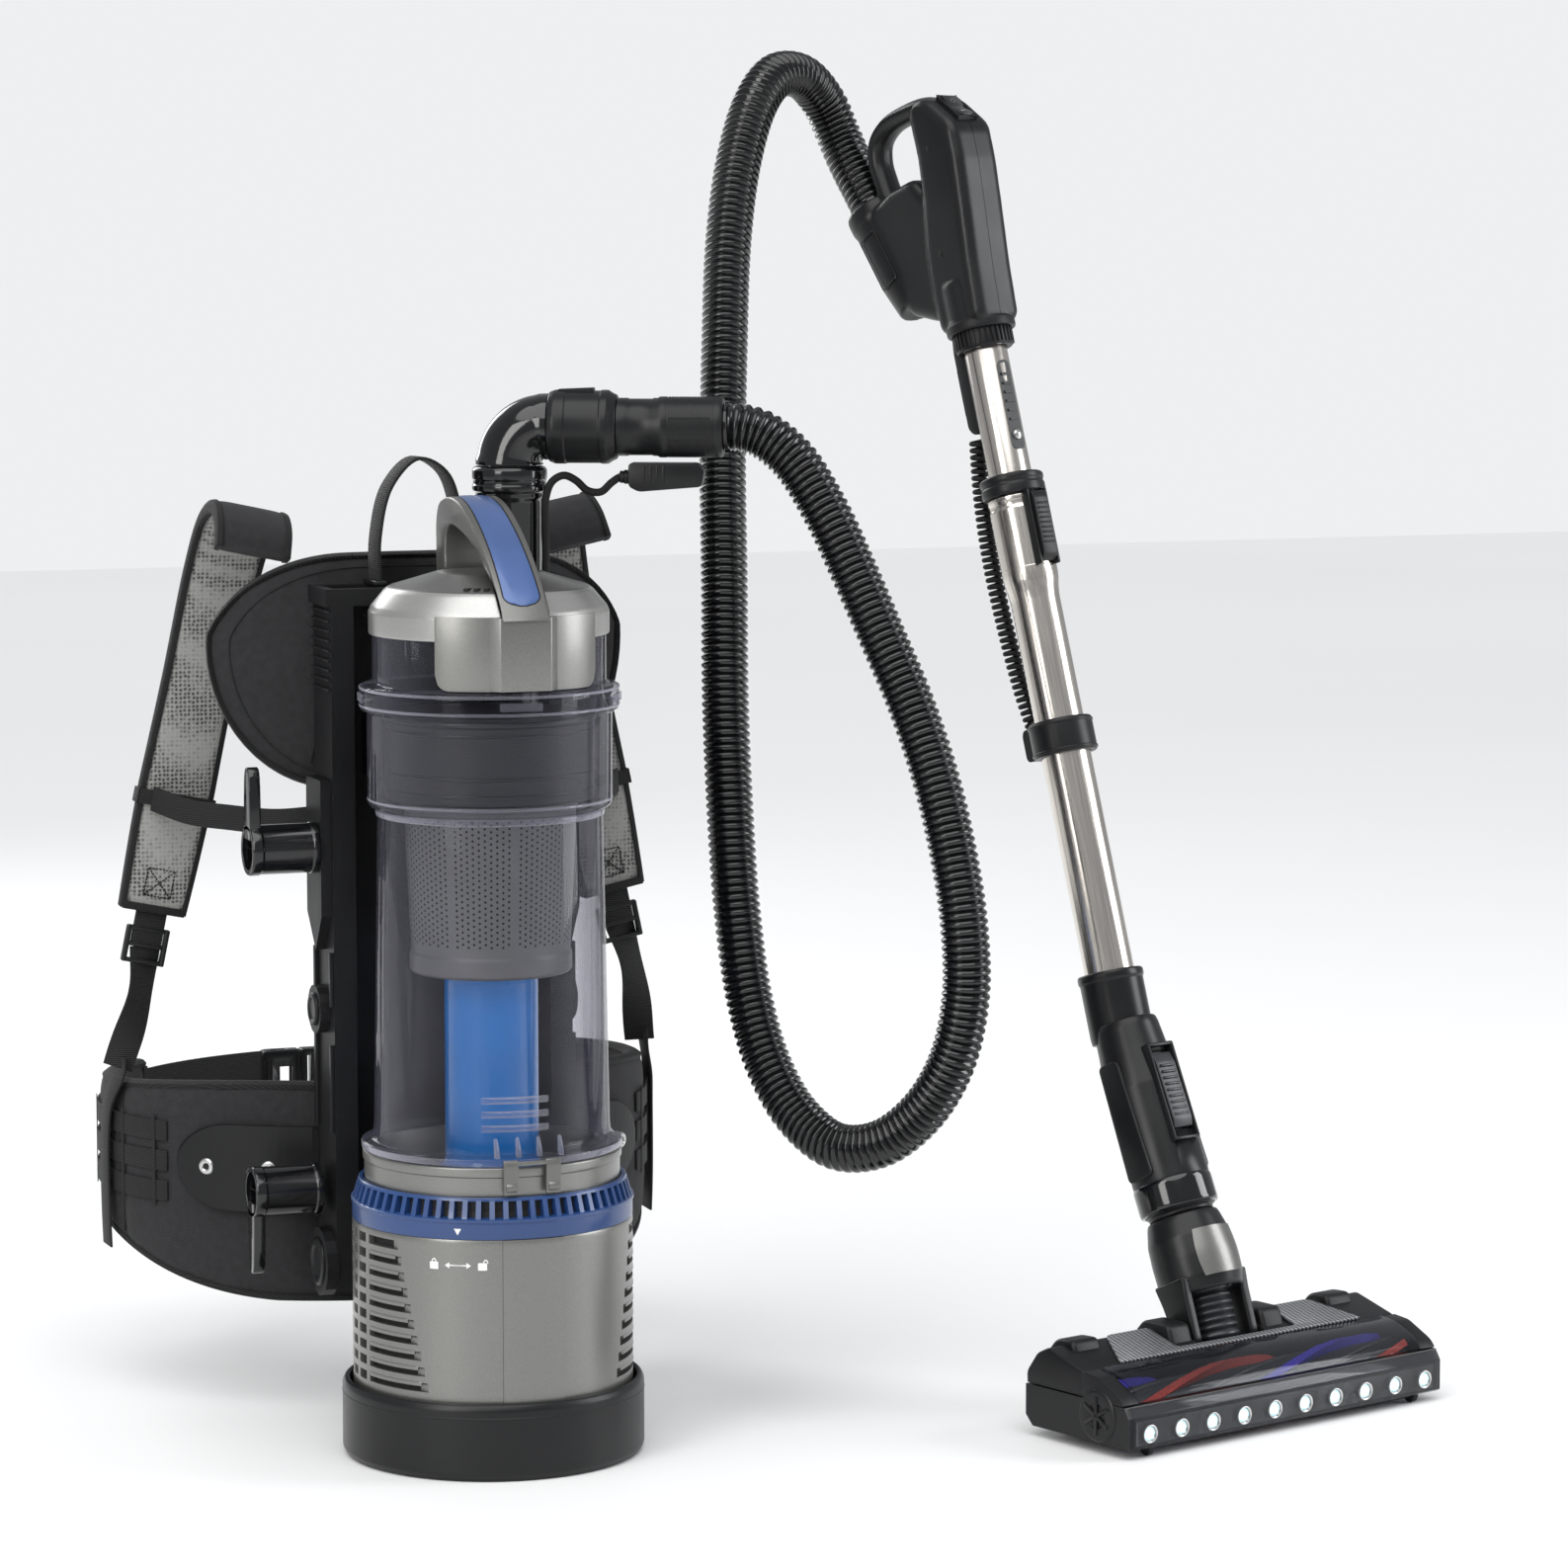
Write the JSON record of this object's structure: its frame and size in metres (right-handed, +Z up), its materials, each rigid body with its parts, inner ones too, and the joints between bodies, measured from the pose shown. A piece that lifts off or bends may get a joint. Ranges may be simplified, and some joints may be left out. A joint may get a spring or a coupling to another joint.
{
  "type": "backpack vacuum cleaner",
  "caption": "Upright canister vacuum worn on a padded harness, with a clear cyclone bin, ribbed hose, telescopic steel wand and a motorised floor head.",
  "frame": {"origin": "centre of the underside of the canister's foot, on the floor", "axes": "+Z up along the canister, +Y towards the harness and the wearer, -Y the canister's front"},
  "size_m": [0.9837, 0.7162, 1.067],
  "materials": {
    "black_plastic": "fine satin texture",
    "gloss_black": "gloss",
    "silver_plastic": "metallic grey paint, satin",
    "dark_grey": "satin",
    "grey_plastic": "satin, perforated",
    "navy_plastic": "satin",
    "sky_plastic": "satin",
    "azure_plastic": "gloss",
    "clear_plastic": "clear, slightly violet tint",
    "smoke_plastic": "smoke tint",
    "aluminium_alloy": "machined",
    "filter_media": "pleated paper",
    "cable_rubber": "satin",
    "hose_plastic": "gloss, ribbed",
    "fabric": "twill with binding; grey air mesh on the strap's inner face",
    "webbing": "ribbed webbing",
    "woven_trim": "woven relief, metallic",
    "bristle": "nylon bristle",
    "wheel_rubber": "matt",
    "steel_tube": "polished stainless"
  },
  "bodies": {
    "backpack": {"base_foot": "black_plastic", "motor_housing": "silver_plastic", "vacuum_motor": "dark_grey", "hepa_filter": "filter_media", "bin_door": "silver_plastic", "dust_bin": "clear_plastic", "bin_collar": "clear_plastic", "cyclone_body": "dark_grey", "mesh_shroud": "grey_plastic", "cyclone_tube": "azure_plastic", "inlet_tube": "gloss_black", "back_frame": "black_plastic", "yoke_pad": "fabric", "shoulder_pad_left": "fabric", "strap_webbing_left": "webbing", "shoulder_pad_right": "fabric", "strap_webbing_right": "webbing", "carry_strap": "webbing", "lumbar_belt": "fabric", "belt_webbing_left": "webbing", "buckle_socket": "black_plastic"},
    "fan": {"fan_rotor": "aluminium_alloy"},
    "exhaust_ring": {"exhaust_ring": "navy_plastic"},
    "bin_latch": {"bin_latch": "silver_plastic"},
    "lid": {"lid": "silver_plastic", "lid_handle": "silver_plastic", "handle_inlay": "sky_plastic"},
    "upper_hook": {"upper_cord_hook": "gloss_black"},
    "lower_hook": {"lower_cord_hook": "gloss_black"},
    "belt_buckle": {"buckle_plug": "black_plastic", "belt_webbing_right": "webbing"},
    "wand": {"elbow": "gloss_black", "swivel_cuff": "black_plastic", "hose_cuff": "black_plastic", "connector_plug": "black_plastic", "pigtail_lead": "cable_rubber", "hose": "hose_plastic", "outer_tube": "steel_tube", "tube_top_ring": "black_plastic", "clip_ring": "black_plastic", "curly_cord": "cable_rubber", "neck_body": "black_plastic"},
    "slide_button": {"slide_button": "black_plastic"},
    "neck_release": {"neck_release": "dark_grey"},
    "handle": {"inner_tube": "steel_tube", "handle_left": "black_plastic", "handle_right": "black_plastic"},
    "pin_button": {"pin_button": "steel_tube"},
    "power_switch": {"power_switch": "gloss_black"},
    "neck_pivot": {"pivot_shell": "black_plastic", "neck_duct": "dark_grey"},
    "power_head": {"head_base": "black_plastic", "head_cover": "black_plastic", "brush_window": "smoke_plastic", "trim_panel": "woven_trim", "led_bumper": "smoke_plastic"},
    "brush_roll": {"brush_roll": "bristle"},
    "rear_wheels": {"rear_wheels": "wheel_rubber"},
    "front_rollers": {"front_rollers": "wheel_rubber"}
  },
  "joints": [
    {"name": "fan_spin", "type": "hinge", "parent": "backpack", "child": "fan", "pos_m": [0, 0, 0.13], "axis": [0, 0, 1], "continuous": true},
    {"name": "exhaust_ring_twist", "type": "hinge", "parent": "backpack", "child": "exhaust_ring", "pos_m": [0, 0, 0.195], "axis": [0, 0, 1], "range_deg": [0, 18]},
    {"name": "bin_latch_open", "type": "hinge", "parent": "backpack", "child": "bin_latch", "pos_m": [0, -0.1012, 0.238], "axis": [1, 0, 0], "range_deg": [-25, 0]},
    {"name": "lid_lift", "type": "slide", "parent": "backpack", "child": "lid", "axis": [0, 0, 1], "range_m": [0, 0.05]},
    {"name": "upper_hook_turn", "type": "hinge", "parent": "backpack", "child": "upper_hook", "pos_m": [-0.13, 0.12, 0.452], "axis": [1, 0, 0], "range_deg": [0, 180]},
    {"name": "lower_hook_turn", "type": "hinge", "parent": "backpack", "child": "lower_hook", "pos_m": [-0.13, 0.12, 0.186], "axis": [1, 0, 0], "range_deg": [-180, 0]},
    {"name": "belt_buckle_pull", "type": "slide", "parent": "backpack", "child": "belt_buckle", "axis": [1, 0, 0], "range_m": [0, 0.035]},
    {"name": "elbow_swivel", "type": "hinge", "parent": "backpack", "child": "wand", "pos_m": [0.052, 0.114, 0.744], "axis": [0, 0, 1], "range_deg": [-35, 10], "deforming": ["pigtail_lead"]},
    {"name": "slide_button_press", "type": "slide", "parent": "wand", "child": "slide_button", "axis": [0.0974, -0.2827, -0.9542], "range_m": [0, 0.008], "stiffness_N_per_m": 300},
    {"name": "neck_release_press", "type": "slide", "parent": "wand", "child": "neck_release", "axis": [-0.2951, 0.8569, -0.4226], "range_m": [0, 0.0025], "stiffness_N_per_m": 400},
    {"name": "wand_extend", "type": "slide", "parent": "wand", "child": "handle", "axis": [-0.0974, 0.2827, 0.9542], "range_m": [0, 0.22], "deforming": ["hose", "curly_cord"]},
    {"name": "pin_button_press", "type": "slide", "parent": "handle", "child": "pin_button", "axis": [-0.3107, 0.9023, -0.299], "range_m": [0, 0.0025], "stiffness_N_per_m": 300},
    {"name": "power_switch_rock", "type": "hinge", "parent": "handle", "child": "power_switch", "pos_m": [0.4648, 0.21971, 1.01938], "axis": [0.9455, 0.3256, 0], "range_deg": [-8, 8]},
    {"name": "neck_swivel", "type": "hinge", "parent": "wand", "child": "neck_pivot", "pos_m": [0.55479, -0.04164, 0.14901], "axis": [-0.1376, 0.3996, 0.9063], "range_deg": [-50, 50]},
    {"name": "head_pitch", "type": "hinge", "parent": "neck_pivot", "child": "power_head", "pos_m": [0.568, -0.08, 0.062], "axis": [0.9455, 0.3256, 0], "range_deg": [-18, 40], "deforming": ["neck_duct"]},
    {"name": "brush_spin", "type": "hinge", "parent": "power_head", "child": "brush_roll", "pos_m": [0.58298, -0.12349, 0.029], "axis": [0.9455, 0.3256, 0], "continuous": true},
    {"name": "rear_wheel_spin", "type": "hinge", "parent": "power_head", "child": "rear_wheels", "pos_m": [0.56116, -0.06014, 0.016], "axis": [0.9455, 0.3256, 0], "continuous": true},
    {"name": "front_roller_spin", "type": "hinge", "parent": "power_head", "child": "front_rollers", "pos_m": [0.59209, -0.14997, 0.006], "axis": [0.9455, 0.3256, 0], "continuous": true}
  ]
}
